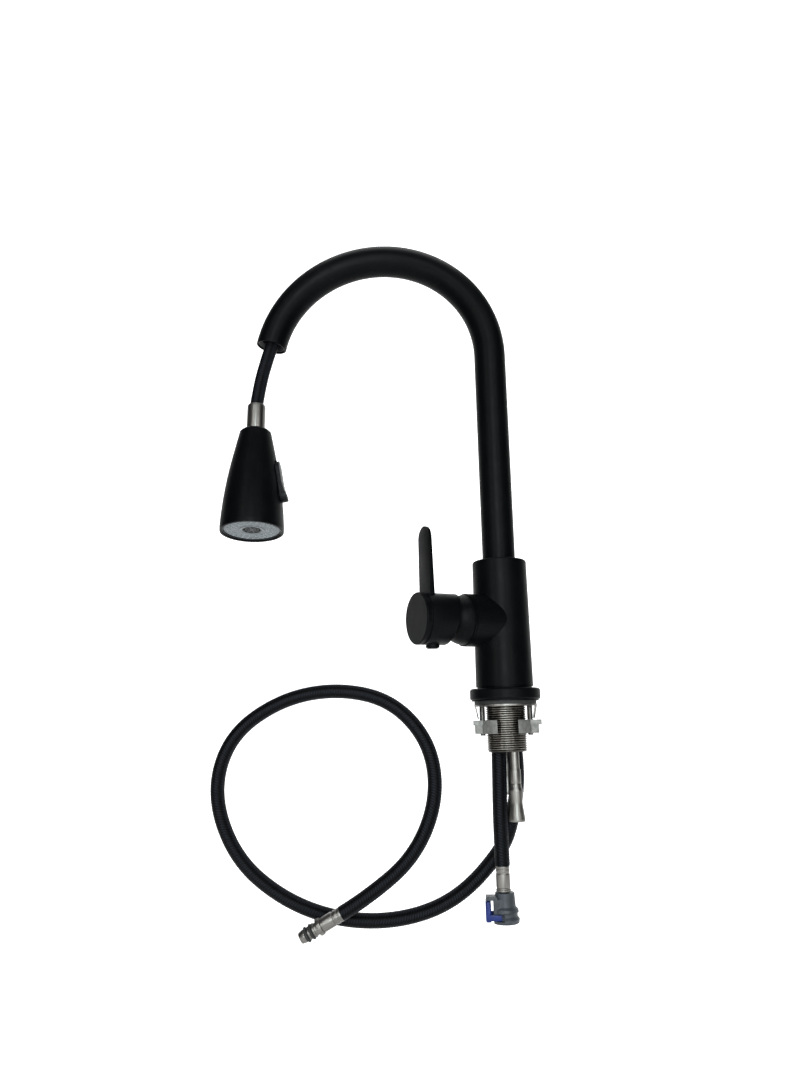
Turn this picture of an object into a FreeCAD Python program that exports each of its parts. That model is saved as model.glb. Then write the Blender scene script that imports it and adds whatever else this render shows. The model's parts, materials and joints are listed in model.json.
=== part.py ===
import FreeCAD, Part
import math
import os

# Pull-down kitchen faucet. Millimetres, +Z up along the body, origin on the body's axis at the
# deck plane, spout towards -X. Every sub-part is written to its own STEP file.

V = FreeCAD.Vector

# ---- driving dimensions: base and body ------------------------------------------------------
DECK_GASKET_R = 25.7
DECK_GASKET_H = 2.9
RING_R = 29.2
RING_TOP = 13.2
BODY_BASE = 14.5
BODY_TOP = 121.0
BODY_R_BASE = 23.85
BODY_R_TOP = 23.0
BODY_BORE = 20.0
SHANK_R = 16.6
SHANK_ROOT_R = 15.6
SHANK_BORE = 14.4
SHANK_BOTTOM = -38.0
THREAD_PITCH = 1.8
CORE_PLATE_FOOT = 46.6
PIPE_TOP = 50.0

# ---- driving dimensions: spout --------------------------------------------------------------
TUBE_R = 14.0
TUBE_WALL = 1.4
SPOUT_FOOT = 95.0
ARC_R = 102.5
ARC_START = 312.0
ARC_TURN = 168.0
SEAL_HEIGHTS = (102.6, 108.4)
BUSH_FOOT = 112.8

# ---- driving dimensions: handle and cartridge, as distances along the arm -------------------
ARM_Z = 69.4
ARM_AZIMUTH = 29.0
ARM_R = 22.0
ARM_WALL = 3.0
ARM_END = 34.9
DISC_FACE = 17.5
PIVOT_A = 35.3
DOME_R = 21.0
DOME_WALL = 1.8
HANDLE_R = 21.3
HANDLE_START = 44.0
HANDLE_FACE = 76.0
CAP_FACE = 80.2
CUT_MIDDLE = 50.6
CUT_SLOPE = 12.0
STEM_SQUARE = 6.4
SET_SCREW_A = 66.0
SET_SCREW_R = 2.5
LEVER_FACE = 71.8
LEVER_TOP = 146.8
LEVER_WIDTH = 21.0
LEVER_FOOT_THICK = 4.2
LEVER_TOP_THICK = 2.1
LEVER_ROUNDING = 9.5

# ---- driving dimensions: hoses and pipes ----------------------------------------------------
HOSE_R = 5.8
PIPE_R = 3.9
PIPE_WALL = 1.0
OUTLET_HOSE = (-7.2, -1.4)
COLD_PIPE = (4.9, -9.0)
HOT_PIPE = (-1.2, 10.3)
COLD_END = -92.0
COLD_SLEEVE = 40.5
HOT_END = -72.5
HOT_SLEEVE = 31.5
FITTING_PIPE_SEAT = 25.0
INLET_BORE_R = 4.3
INLET_BORE_DEPTH = 12.0
PULL_HOSE_LOW = (6.6, 3.2)
PULL_HOSE_HIGH = (5.9, 2.9)
PULL_ROUTE = [(6.6, 3.2, -38), (8, 4, -60), (2, 11, -92), (-7, 17, -117), (-44, 19, -155),
              (-90, 19, -172), (-143, 19, -172), (-192, 19, -155), (-233, 19, -122), (-253, 18, -70),
              (-239, 16, -22), (-195, 14, 8), (-145, 12, 17), (-96, 11, 6), (-64, 10, -30),
              (-59, 8, -76), (-79, 6, -121), (-119, 3.5, -152), (-139, 2, -163)]
OUTLET_ROUTE = [(-7.2, -1.4, -38.0), (-7.5, -1.3, -55.0), (-8.25, -0.8, -81.2),
                (-8.25, -0.1, -107.4), (-8.15, 0.5, -126.4)]
DROP_POINTS = [(-199.2, 0.0, 344.5), (-207.4, 1.2, 321.0), (-213.8, 2.8, 298.0)]
DROP_START_ANGLE = 150.0

# ---- driving dimensions: quick connector ----------------------------------------------------
FERRULE_FOOT = V(-8.06, 1.2, -145.9)
BARB_TOP = -146.3
BARB_R = 4.6
SOCKET_TOP = -146.7
SOCKET_FOOT = -169.5
SOCKET_X = -7.25
SOCKET_Y = 1.2
SOCKET_R = 5.9
SOCKET_DEPTH = 16.6
CLIP_SIDE_X = -9.4
PLUG_COLLAR = 18.0
PLUG_GROOVE_R = 4.2
PLUG_SEALS = (27.0, 31.4)

# ---- driving dimensions: spray head, as distances down its axis -----------------------------
BALL_BELOW_SPOUT = 63.7
BALL_R = 4.2
BALL_SOCKET_R = 4.25
HEAD_TILT_SIDE = -0.7
HEAD_TILT_FRONT = 6.5
NUT_R = 8.3
NUT_ABOVE_BALL = 5.2
NUT_BELOW_BALL = 21.9
HEAD_LENGTH = 97.0
HEAD_WALL = 1.8
HEAD_OUTLINE = [(14.4, 1.6), (17.4, 16.0), (22.9, 44.0), (26.6, 72.0), (28.1, 93.5)]
DOCK_GAP = 0.6
ROCKER_MIDDLE = 51.0
ROCKER_R = 24.0
ROCKER_LEAN = 9.5
ROCKER_HALF = 13.5
ROCKER_WIDTH = 12.6
ROCKER_PIN_DEPTH = 2.2
FACE_TOP = 78.0
NOZZLE_R = 1.0
NOZZLE_RINGS = ((14.4, 16), (17.9, 22), (21.2, 28))

# ---- driving dimensions: clamp under the deck -----------------------------------------------
WASHER_R = 26.0
WASHER_THICK = 1.3
SCREW_REACH = 19.8
SCREW_ANGLE = 10.0
SCREW_R = 2.5
LUG_TOP = -12.6
NUT_BOTTOM = -23.4

Z = V(0, 0, 1)
DOWN = V(0, 0, -1)
ORIGIN = V(0, 0, 0)

# ---- directions ---------------------------------------------------------------------------
arm_angle = math.radians(ARM_AZIMUTH)
ARM = V(-math.cos(arm_angle), -math.sin(arm_angle), 0)
SIDE = V(math.sin(arm_angle), -math.cos(arm_angle), 0)
turn_end = math.radians(ARC_TURN)
SPOUT_END = V(ARC_R * math.cos(turn_end) - ARC_R, 0, ARC_START + ARC_R * math.sin(turn_end))
OUTLET = V(-math.sin(turn_end), 0, math.cos(turn_end))
BALL = SPOUT_END + OUTLET * BALL_BELOW_SPOUT
side_lean = math.sin(math.radians(HEAD_TILT_SIDE))
front_lean = math.sin(math.radians(HEAD_TILT_FRONT))
HEAD = V(-side_lean, -front_lean, -math.sqrt(1 - side_lean ** 2 - front_lean ** 2))
HEAD_TOP = BALL + HEAD * NUT_BELOW_BALL
BUTTON_OUT = (V(1, 0, 0) - HEAD * HEAD.x).normalize()
BUTTON_SIDE = HEAD.cross(BUTTON_OUT)
TILT_AXIS = HEAD.cross(OUTLET).normalize()
DOCK_TILT = math.degrees(HEAD.getAngle(OUTLET))
DOCK_TRAVEL = BALL_BELOW_SPOUT + NUT_BELOW_BALL - DOCK_GAP


# ---- shape helpers ------------------------------------------------------------------------
def on_arm(along, side=0.0, up=0.0):
    """A point by its distance along the handle arm's axis, sideways and upwards from it."""
    return V(0, 0, ARM_Z) + ARM * along + SIDE * side + Z * up


def on_head(along, out=0.0, side=0.0):
    """A point by its distance down the spray head's axis, towards its button and sideways."""
    return HEAD_TOP + HEAD * along + BUTTON_OUT * out + BUTTON_SIDE * side


def rod(start, axis, radius, length):
    return Part.makeCylinder(radius, length, start, axis)


def ring(start, axis, outer, inner, length):
    return rod(start, axis, outer, length).cut(rod(start, axis, inner, length))


def torus(centre, axis, radius, thickness):
    return Part.makeTorus(radius, thickness, centre, axis)


def corner_arc(before, corner, after, radius):
    """The arc of the given radius that is tangent to both runs at a corner."""
    back = (before - corner).normalize()
    ahead = (after - corner).normalize()
    half = (math.pi - back.getAngle(ahead)) / 2
    reach = radius * math.tan(half)
    middle = corner + (back + ahead).normalize() * (radius / math.cos(half) - radius)
    return Part.Arc(corner + back * reach, middle, corner + ahead * reach)


def turned(outline, start, axis):
    """A solid of revolution. The outline lists (radius, height) or (radius, height, rounding)."""
    count = len(outline)
    points = [V(p[0], 0, p[1]) for p in outline]
    edges = []
    ends = []
    for i in range(count):
        rounding = outline[i][2] if len(outline[i]) > 2 else 0
        if rounding:
            arc = corner_arc(points[i - 1], points[i], points[(i + 1) % count], rounding)
            ends.append((arc.StartPoint, arc.EndPoint, arc))
        else:
            ends.append((points[i], points[i], None))
    for i in range(count):
        if ends[i][2]:
            edges.append(ends[i][2].toShape())
        start_point = ends[i][1]
        end_point = ends[(i + 1) % count][0]
        if start_point.distanceToPoint(end_point) > 1e-6:
            edges.append(Part.LineSegment(start_point, end_point).toShape())
    face = Part.Face(Part.Wire(Part.__sortEdges__(edges)))
    solid = face.revolve(ORIGIN, Z, 360)
    solid.Placement = FreeCAD.Placement(start, FreeCAD.Rotation(Z, axis))
    return solid


def cord_path(points):
    """Straight runs joined by tangent arcs, each arc as large as its two runs allow."""
    edges = []
    radii = []
    here = points[0]
    for i in range(1, len(points) - 1):
        back = points[i - 1] - points[i]
        ahead = points[i + 1] - points[i]
        half = (math.pi - back.getAngle(ahead)) / 2
        radius = 0.45 * min(back.Length, ahead.Length) / math.tan(half)
        arc = corner_arc(points[i - 1], points[i], points[i + 1], radius)
        edges.append(Part.LineSegment(here, arc.StartPoint).toShape())
        edges.append(arc.toShape())
        here = arc.EndPoint
        radii.append(radius)
    edges.append(Part.LineSegment(here, points[-1]).toShape())
    return Part.Wire(edges), radii


def cord(name, points, radius):
    """A plain round tube along a cord's route, with its bend radii printed."""
    points = [V(*p) for p in points]
    path, radii = cord_path(points)
    section = Part.Wire(Part.Circle(points[0], points[1] - points[0], radius).toShape())
    solid = path.makePipeShell([section], True, False, 2)
    wanted = math.pi * radius ** 2 * path.Length
    bends = " ".join("%.0f" % r for r in radii)
    ratio = solid.Volume / wanted
    print("%s: length %.1f, volume ratio %.4f, radii %s" % (name, path.Length, ratio, bends))
    return solid


def box_about(centre, x_axis, y_axis, sizes):
    """A box centred on a point, with its first two edges along the given directions."""
    z_axis = x_axis.cross(y_axis)
    corner = V(-sizes[0] / 2, -sizes[1] / 2, -sizes[2] / 2)
    block = Part.makeBox(sizes[0], sizes[1], sizes[2], corner)
    matrix = FreeCAD.Matrix(x_axis.x, y_axis.x, z_axis.x, centre.x,
                            x_axis.y, y_axis.y, z_axis.y, centre.y,
                            x_axis.z, y_axis.z, z_axis.z, centre.z)
    block.Placement = FreeCAD.Placement(matrix)
    return block


def column(place, z_low, z_high, radius):
    return rod(V(place[0], place[1], z_low), Z, radius, z_high - z_low)


def slanted_hose(radius, z_low, z_high):
    """The straight stretch in which the pull-out hose crosses the shank and the body."""
    low = V(PULL_HOSE_LOW[0], PULL_HOSE_LOW[1], SHANK_BOTTOM)
    high = V(PULL_HOSE_HIGH[0], PULL_HOSE_HIGH[1], SPOUT_FOOT)
    slope = (high - low) * (1 / (SPOUT_FOOT - SHANK_BOTTOM))
    start = low + slope * (z_low - SHANK_BOTTOM)
    end = low + slope * (z_high - SHANK_BOTTOM)
    return rod(start, end - start, radius, (end - start).Length)


# ---- base and body ------------------------------------------------------------------------
def base_gasket():
    return ring(ORIGIN, Z, DECK_GASKET_R, SHANK_R + 0.4, DECK_GASKET_H)


def base_ring():
    bore = SHANK_R + 0.1
    seat = BODY_R_BASE - 1.25
    outline = [(bore, DECK_GASKET_H), (RING_R - 1.4, DECK_GASKET_H), (RING_R - 1.4, 4.0),
               (RING_R, 4.0, 1.2), (RING_R, RING_TOP, 2.2), (seat, RING_TOP), (seat, BODY_BASE),
               (bore, BODY_BASE)]
    return turned(outline, ORIGIN, Z)


def threaded_shank():
    """The threaded shank, whose thread is a stack of ring grooves, with a flange in the body."""
    spigot = BODY_BORE - 0.2
    outline = [(SHANK_BORE, SHANK_BOTTOM), (SHANK_ROOT_R, SHANK_BOTTOM)]
    z = SHANK_BOTTOM + 1.0
    while z + THREAD_PITCH < DECK_GASKET_H - 1:
        outline += [(SHANK_ROOT_R, z), (SHANK_R, z + 0.38 * THREAD_PITCH),
                    (SHANK_R, z + 0.52 * THREAD_PITCH), (SHANK_ROOT_R, z + 0.9 * THREAD_PITCH)]
        z += THREAD_PITCH
    outline += [(SHANK_ROOT_R, DECK_GASKET_H), (SHANK_R, DECK_GASKET_H), (SHANK_R, BODY_BASE),
                (spigot, BODY_BASE), (spigot, BODY_BASE + 4), (SHANK_BORE, BODY_BASE + 4)]
    return turned(outline, ORIGIN, Z)


def body_shell():
    """The body: a slightly tapered column with the handle's arm, bored for what it holds."""
    column_outline = [(0, BODY_BASE), (BODY_R_BASE, BODY_BASE), (BODY_R_TOP, BODY_TOP, 1.6), (0, BODY_TOP)]
    outer = turned(column_outline, ORIGIN, Z)
    outer = outer.fuse(rod(on_arm(0), ARM, ARM_R, ARM_END))
    neck = TUBE_R + 1.6
    bore = turned([(0, BODY_BASE), (BODY_BORE, BODY_BASE), (BODY_BORE, BODY_TOP - 8),
                   (neck, BODY_TOP - 8), (neck, BODY_TOP), (0, BODY_TOP)], ORIGIN, Z)
    hollow = bore.fuse(rod(on_arm(0), ARM, ARM_R - ARM_WALL, ARM_END))
    return outer.cut(hollow)


def waterway_core():
    """The casting that carries the cartridge, on a round plate through which the hoses pass."""
    slip_r = BODY_BORE - 0.1
    boss_foot = CORE_PLATE_FOOT - 4.6
    plate = rod(V(0, 0, CORE_PLATE_FOOT), Z, slip_r, 5.0)
    block = rod(on_arm(-1.0), ARM, 18.4, 13.0)
    block = block.common(rod(V(0, 0, boss_foot), Z, slip_r, 60))
    bosses = [column(p, boss_foot, CORE_PLATE_FOOT + 0.4, 6.0) for p in (COLD_PIPE, HOT_PIPE, OUTLET_HOSE)]
    core = plate.fuse([block] + bosses)
    holes = [slanted_hose(HOSE_R + 0.6, boss_foot - 2, SPOUT_FOOT)]
    holes += [column(p, boss_foot - 2, PIPE_TOP, PIPE_R) for p in (COLD_PIPE, HOT_PIPE)]
    holes.append(column(OUTLET_HOSE, boss_foot - 2, PIPE_TOP - 2, 2.4))
    return core.cut(Part.makeCompound(holes)).Solids[0]


def spout_bearing_sleeve():
    """The long bearing in the body's top, with two inner grooves for the spout's O-rings."""
    low = SPOUT_FOOT + 3.6
    sleeve = ring(V(0, 0, low), Z, BODY_BORE - 0.1, TUBE_R + 0.06, BUSH_FOOT - low)
    for z in SEAL_HEIGHTS:
        sleeve = sleeve.cut(ring(V(0, 0, z - 1.5), Z, TUBE_R + 2.7, TUBE_R - 1, 3.0))
    return sleeve


def spout_top_bush():
    """The slide bush at the body's rim, between the spout tube and the body."""
    return ring(V(0, 0, BUSH_FOOT), Z, TUBE_R + 1.5, TUBE_R + 0.06, BODY_TOP - 0.4 - BUSH_FOOT)


def spout_seals():
    return Part.makeCompound([torus(V(0, 0, z), Z, TUBE_R + 1.36, 1.3) for z in SEAL_HEIGHTS])


# ---- spout --------------------------------------------------------------------------------
def spout_path():
    """The spout's centreline: a straight riser and one arc."""
    top = V(0, 0, ARC_START)
    half = turn_end / 2
    middle = V(ARC_R * math.cos(half) - ARC_R, 0, ARC_START + ARC_R * math.sin(half))
    riser = Part.LineSegment(V(0, 0, SPOUT_FOOT), top)
    return Part.Wire([riser.toShape(), Part.Arc(top, middle, SPOUT_END).toShape()])


def spout_tube():
    path = spout_path()
    skins = []
    for radius in (TUBE_R, TUBE_R - TUBE_WALL):
        section = Part.Wire(Part.Circle(V(0, 0, SPOUT_FOOT), Z, radius).toShape())
        skins.append(path.makePipeShell([section], True, False))
    return skins[0].cut(skins[1])


def spout_retaining_ring():
    """The snap ring in a groove of the tube's foot, which keeps the spout in its bearing."""
    return ring(V(0, 0, SPOUT_FOOT + 1.2), Z, TUBE_R + 3.0, TUBE_R, 2.0)


def spout_end_insert():
    """The plastic guide inside the spout's mouth, which centres the hose and the docked nut."""
    start = SPOUT_END - OUTLET * 13.0
    outline = [(9.5, 0), (11.7, 0), (12.3, 6.0), (12.3, 11.6), (11.4, 11.6), (9.5, 8.6)]
    return turned(outline, start, OUTLET)


# ---- handle and cartridge -----------------------------------------------------------------
def cartridge_housing():
    outline = [(6.0, 12.0), (17.5, 12.0), (17.5, 27.6), (13.0, 27.6), (13.0, 30.0), (11.4, 30.0),
               (11.4, 26.0), (15.2, 26.0), (15.2, 14.4), (6.0, 14.4)]
    return turned(outline, on_arm(0), ARM)


def cartridge_nut():
    return turned([(14.0, 27.7), (18.9, 27.7), (18.9, 33.6), (14.0, 33.6)], on_arm(0), ARM)


def fixed_disc():
    """The fixed ceramic disc, with the hot, cold and mixed ports."""
    back = DISC_FACE - 3.0
    disc = rod(on_arm(back), ARM, 15.0, 3.0)
    ports = [rod(on_arm(back, s, u), ARM, 2.6, 3.0) for s, u in ((7, 3.5), (-7, 3.5), (0, -7.5))]
    return disc.cut(Part.makeCompound(ports))


def moving_disc():
    """The sliding ceramic disc, with its mixing recess facing the fixed disc."""
    face = DISC_FACE + 0.05
    disc = rod(on_arm(face), ARM, 9.2, 2.6)
    return disc.cut(rod(on_arm(face, 0, -2), ARM, 5.0, 1.2))


def disc_carrier():
    """The plastic block on the moving disc, with the slot that the stem's ball works in."""
    block = rod(on_arm(DISC_FACE + 2.65), ARM, 8.2, 3.9)
    slot = box_about(on_arm(DISC_FACE + 4.6), SIDE, Z, (6.4, 6.4, 5.0))
    return block.cut(slot)


def cartridge_spindle():
    """The turning guide of the cartridge, slotted so that the stem can rock about its pin."""
    outline = [(0, 26.3), (10.9, 26.3), (10.9, 30.3), (9.6, 30.3), (9.6, 41.0), (0, 41.0)]
    body = turned(outline, on_arm(0), ARM)
    slot = box_about(on_arm(34.0), SIDE, Z, (8.6, 30.0, 24.0))
    slot = slot.common(rod(on_arm(20), ARM, 30, 30))
    pin_hole = rod(on_arm(PIVOT_A, -12), SIDE, 1.5, 24)
    keeper = ring(on_arm(24.4), ARM, 10.9, 8.2, 2.2)
    return body.cut(slot).cut(pin_hole).fuse(keeper)


def stem_pin():
    return rod(on_arm(PIVOT_A, -9.0), SIDE, 1.5, 18.0)


def stem():
    """The rocking stem: a ball below the pin, an eye on the pin and a square end in the handle."""
    shaft = rod(on_arm(24.0), ARM, 2.0, 10.0)
    ball = Part.makeSphere(2.5, on_arm(22.9))
    eye = rod(on_arm(PIVOT_A, -4.0), SIDE, 4.2, 8.0)
    square = box_about(on_arm(52.0), SIDE, Z, (STEM_SQUARE, STEM_SQUARE, 30.0))
    hole = rod(on_arm(PIVOT_A, -5.0), SIDE, 1.56, 10.0)
    return shaft.fuse([ball, eye, square]).cut(hole)


def dome_cover():
    """The dome over the cartridge: a foot flange in the arm's mouth and a spherical cap."""
    inside = Part.makeSphere(DOME_R - DOME_WALL, on_arm(PIVOT_A))
    ball = Part.makeSphere(DOME_R, on_arm(PIVOT_A)).cut(inside)
    ball = ball.cut(rod(on_arm(PIVOT_A - 40), ARM, 30, 40))
    ball = ball.cut(rod(on_arm(PIVOT_A), ARM, 13.2, 30))
    flange = ring(on_arm(ARM_END + 0.4), ARM, ARM_R - 0.1, 17.6, 1.4)
    spigot = ring(on_arm(ARM_END - 1.2), ARM, 18.9, 17.6, 2.0)
    flange = flange.fuse(spigot)
    flange = flange.cut(inside)
    return ball.fuse(flange)


def handle_cut():
    """The wedge that gives the handle's inner end its slant, so that it can rock outwards."""
    slope = math.radians(CUT_SLOPE)
    along = ARM * math.cos(slope) + Z * math.sin(slope)
    return box_about(on_arm(CUT_MIDDLE) - along * 20, along, SIDE, (40, 80, 80))


def lever_blade():
    """The upright blade: thicker at its foot, straight sides and a rounded top."""
    foot = 12.0
    top = LEVER_TOP - ARM_Z
    half = LEVER_WIDTH / 2
    shoulder = top - LEVER_ROUNDING
    inner = LEVER_FACE - LEVER_FOOT_THICK - 7
    profile = [on_arm(LEVER_FACE, 0, foot), on_arm(LEVER_FACE, 0, top),
               on_arm(LEVER_FACE - LEVER_TOP_THICK, 0, top), on_arm(LEVER_FACE - LEVER_FOOT_THICK, 0, foot)]
    side = Part.Face(Part.makePolygon(profile + profile[:1]))
    side.translate(SIDE * -half)
    slab = side.extrude(SIDE * LEVER_WIDTH)
    left = on_arm(inner, -half, foot)
    right = on_arm(inner, half, foot)
    left_top = on_arm(inner, -half, shoulder)
    right_top = on_arm(inner, half, shoulder)
    edges = [Part.LineSegment(left, right).toShape(),
             Part.LineSegment(right, right_top).toShape(),
             Part.Arc(right_top, on_arm(inner, 0, top), left_top).toShape(),
             Part.LineSegment(left_top, left).toShape()]
    face = Part.Face(Part.Wire(edges))
    return slab.common(face.extrude(ARM * 20))


def handle_lever():
    """The handle: a round head on the stem, its upright blade and the boss of its set screw."""
    shell = rod(on_arm(HANDLE_START), ARM, HANDLE_R, HANDLE_FACE - HANDLE_START)
    cavity = rod(on_arm(HANDLE_START - 1), ARM, HANDLE_R - 2.4, 18.5)
    shell = shell.cut(cavity).cut(handle_cut())
    body = shell.fuse([lever_blade(), rod(on_arm(SET_SCREW_A), DOWN, 5.6, HANDLE_R + 2.2)])
    socket = box_about(on_arm(60.0), SIDE, Z, (STEM_SQUARE + 0.2, STEM_SQUARE + 0.2, 14.4))
    screw_hole = rod(on_arm(SET_SCREW_A), DOWN, SET_SCREW_R, 30)
    recess = ring(on_arm(HANDLE_FACE - 1.2), ARM, HANDLE_R + 1, HANDLE_R - 0.9, 1.2)
    return body.cut(Part.makeCompound([socket, screw_hole])).cut(recess)


def handle_cap():
    """The handle's end cap, on a narrower step that leaves a groove."""
    step = HANDLE_FACE + 0.9
    outline = [(0, HANDLE_FACE), (HANDLE_R - 1.0, HANDLE_FACE), (HANDLE_R - 1.0, step),
               (HANDLE_R + 0.1, step), (HANDLE_R + 0.1, CAP_FACE, 1.0), (0, CAP_FACE)]
    return turned(outline, on_arm(0), ARM)


def handle_set_screw():
    screw = rod(on_arm(SET_SCREW_A, 0, -STEM_SQUARE / 2 - 0.1), DOWN, SET_SCREW_R, 16.0)
    key = rod(on_arm(SET_SCREW_A, 0, -16.4), DOWN, 1.3, 3.0)
    return screw.cut(key)


def set_screw_plug():
    """The small plug that hides the set screw's hole."""
    outline = [(0, 21.0), (SET_SCREW_R, 21.0), (SET_SCREW_R, 23.5), (4.6, 23.5), (4.6, 24.3, 0.5), (0, 24.3)]
    return turned(outline, on_arm(SET_SCREW_A), DOWN)


# ---- spray head ---------------------------------------------------------------------------
def hose_end_ball():
    """The ball at the hose's end, with a short neck up to the crimped hose."""
    ball = Part.makeSphere(BALL_R, BALL)
    neck = rod(BALL, HEAD * -1, 2.0, NUT_ABOVE_BALL)
    return ball.fuse(neck).cut(rod(BALL + HEAD * 6, HEAD * -1, 1.2, 13))


def hose_nut():
    """The turned nut that holds the ball and hangs the spray head on it."""
    top = BALL - HEAD * NUT_ABOVE_BALL
    length = NUT_ABOVE_BALL + NUT_BELOW_BALL - 0.4
    nut = turned([(0, 0), (NUT_R, 0, 2.6), (NUT_R, length), (0, length)], top, HEAD)
    socket = Part.makeSphere(BALL_SOCKET_R, BALL)
    cone = Part.makeCone(5.0, 3.4, NUT_ABOVE_BALL - 2.0, top, HEAD)
    chamber = rod(BALL, HEAD, BALL_SOCKET_R, 6.0)
    throat = rod(BALL, HEAD, 3.0, NUT_BELOW_BALL)
    counterbore = rod(BALL + HEAD * (NUT_BELOW_BALL - 6.0), HEAD, 6.4, 6.0)
    for hollow in (chamber, socket, cone, throat, counterbore):
        nut = nut.cut(hollow)
    return nut


def ball_seat():
    """The plastic seat under the ball."""
    seat = ring(BALL + HEAD * 1.0, HEAD, BALL_SOCKET_R, 1.6, 5.0)
    return seat.cut(Part.makeSphere(BALL_SOCKET_R, BALL))


def head_revolved(offset, low, high, top_round):
    """The head's bell form, inset by an offset, between two heights down its axis."""
    points = [V(r - offset, 0, t) for r, t in HEAD_OUTLINE]
    curve = Part.BSplineCurve()
    curve.interpolate(points)
    top_point = points[0]
    end_point = points[-1]
    corners = [end_point, V(end_point.x - 0.2, 0, high), V(0, 0, high), V(0, 0, low),
               V(top_point.x - top_round, 0, low), top_point]
    edges = [curve.toShape()]
    for a, b in zip(corners, corners[1:]):
        edges.append(Part.LineSegment(a, b).toShape())
    solid = Part.Face(Part.Wire(edges)).revolve(ORIGIN, Z, 360)
    solid.Placement = FreeCAD.Placement(HEAD_TOP, FreeCAD.Rotation(Z, HEAD))
    return solid


def rocker_frame():
    """The rocker's middle point, its length direction and its outward direction."""
    lean = math.radians(ROCKER_LEAN)
    length_axis = HEAD * math.cos(lean) + BUTTON_OUT * math.sin(lean)
    outward = BUTTON_OUT * math.cos(lean) - HEAD * math.sin(lean)
    return on_head(ROCKER_MIDDLE, ROCKER_R), length_axis, outward


def head_shell():
    """The spray head's bell-shaped shell, open below, with the rocker's round-ended window."""
    outer = head_revolved(0, 0, HEAD_LENGTH, 1.6)
    inner = head_revolved(HEAD_WALL, 3.0, HEAD_LENGTH, 0.1)
    shell = outer.cut(inner).cut(rod(HEAD_TOP, HEAD, 7.0, 10))
    middle, length_axis, outward = rocker_frame()
    window = box_about(middle, length_axis, BUTTON_SIDE, (28.0, 15.0, 16.0))
    for end in (-1, 1):
        corner_cut = rod(middle + length_axis * (end * 14.0) - outward * 8, outward, 7.5, 16)
        window = window.fuse(corner_cut)
    return shell.cut(window)


def rocker_pocket():
    """The moulded pocket that closes the window behind the rocker button."""
    middle, length_axis, outward = rocker_frame()
    block = box_about(middle - outward * 4.4, length_axis, BUTTON_SIDE, (45.0, 18.0, 7.4))
    hollow = box_about(middle - outward * 3.0, length_axis, BUTTON_SIDE, (43.4, 15.6, 8.0))
    limit = head_revolved(HEAD_WALL + 0.2, 4.0, HEAD_LENGTH, 0.1)
    stem_hole = rod(middle - outward * 12, outward, 2.2, 8)
    return block.cut(hollow).common(limit).cut(stem_hole)


def rocker_button():
    """The rocker button: a slim rounded bar, its lower end standing proud."""
    middle, length_axis, outward = rocker_frame()
    half_width = ROCKER_WIDTH / 2
    bar = box_about(middle + outward * 0.6, length_axis, BUTTON_SIDE, (2 * ROCKER_HALF, ROCKER_WIDTH, 3.4))
    for end in (-ROCKER_HALF, ROCKER_HALF):
        bar = bar.fuse(rod(middle + length_axis * end - outward * 1.1, outward, half_width, 3.4))
    low = middle + outward * 2.2 + length_axis * 1.0
    high = middle + outward * 2.2 + length_axis * 20.0
    wedge = Part.Face(Part.makePolygon([low, high, high + outward * 2.4, low]))
    wedge.translate(BUTTON_SIDE * -half_width)
    lip = wedge.extrude(BUTTON_SIDE * ROCKER_WIDTH)
    keep = rod(middle + length_axis * ROCKER_HALF - outward * 3, outward, half_width, 12)
    keep_size = (2 * ROCKER_HALF, ROCKER_WIDTH, 12.0)
    keep_bar = box_about(middle + outward * 3, length_axis, BUTTON_SIDE, keep_size)
    bar = bar.fuse(lip.common(keep.fuse(keep_bar)))
    pin = middle - outward * ROCKER_PIN_DEPTH
    eye = rod(pin - BUTTON_SIDE * 2.0, BUTTON_SIDE, 2.1, 4.0)
    hole = rod(pin - BUTTON_SIDE * 7.0, BUTTON_SIDE, 0.86, 14.0)
    return bar.fuse(eye).cut(hole)


def rocker_pin():
    middle, length_axis, outward = rocker_frame()
    return rod(middle - outward * ROCKER_PIN_DEPTH - BUTTON_SIDE * 7.8, BUTTON_SIDE, 0.8, 15.6)


def head_inlet():
    """The inner waterway: a pipe from the nut to the diverter chamber and a flange on the face."""
    flange = FACE_TOP - 0.2
    outline = [(4.0, -5.0), (6.34, -5.0), (6.34, 34.0), (12.0, 38.0), (12.0, flange - 2.6),
               (24.0, flange - 1.4), (24.0, flange), (9.6, flange), (9.6, 40.0), (4.0, 36.0)]
    return turned(outline, HEAD_TOP, HEAD)


def inlet_washer():
    return ring(HEAD_TOP - HEAD * 6.0, HEAD, 6.3, 3.4, 0.9)


def check_valve():
    """The check valve in the inlet's throat, as its plain outer form."""
    return turned([(0, 4.0), (3.6, 4.0), (3.6, 9.0), (2.0, 15.0), (0, 15.0)], HEAD_TOP, HEAD)


def diverter_spool():
    """The spool that sends the water to the aerator or to the spray nozzles."""
    outline = [(0, 46.0), (2.6, 46.0), (2.6, 50.0), (8.8, 50.0), (8.8, 53.0), (3.0, 53.0),
               (3.0, 60.0), (8.8, 60.0), (8.8, 63.0), (0, 63.0)]
    return turned(outline, HEAD_TOP, HEAD)


def face_plate():
    """The grey spray face, pierced for its nozzles, with a central hole for the aerator."""
    back = FACE_TOP + 12.6
    front = FACE_TOP + 17.2
    plate = turned([(11.6, back), (24.2, back), (25.0, back + 0.8), (25.0, front - 0.8),
                    (24.0, front), (11.6, front)], HEAD_TOP, HEAD)
    return plate.cut(nozzle_rods(NOZZLE_R + 0.05, FACE_TOP + 12, 6))


def nozzle_rods(radius, low, length):
    rods = []
    for ring_radius, count in NOZZLE_RINGS:
        for i in range(count):
            angle = 2 * math.pi * i / count
            centre = on_head(low, ring_radius * math.cos(angle), ring_radius * math.sin(angle))
            rods.append(rod(centre, HEAD, radius, length))
    return Part.makeCompound(rods)


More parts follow.
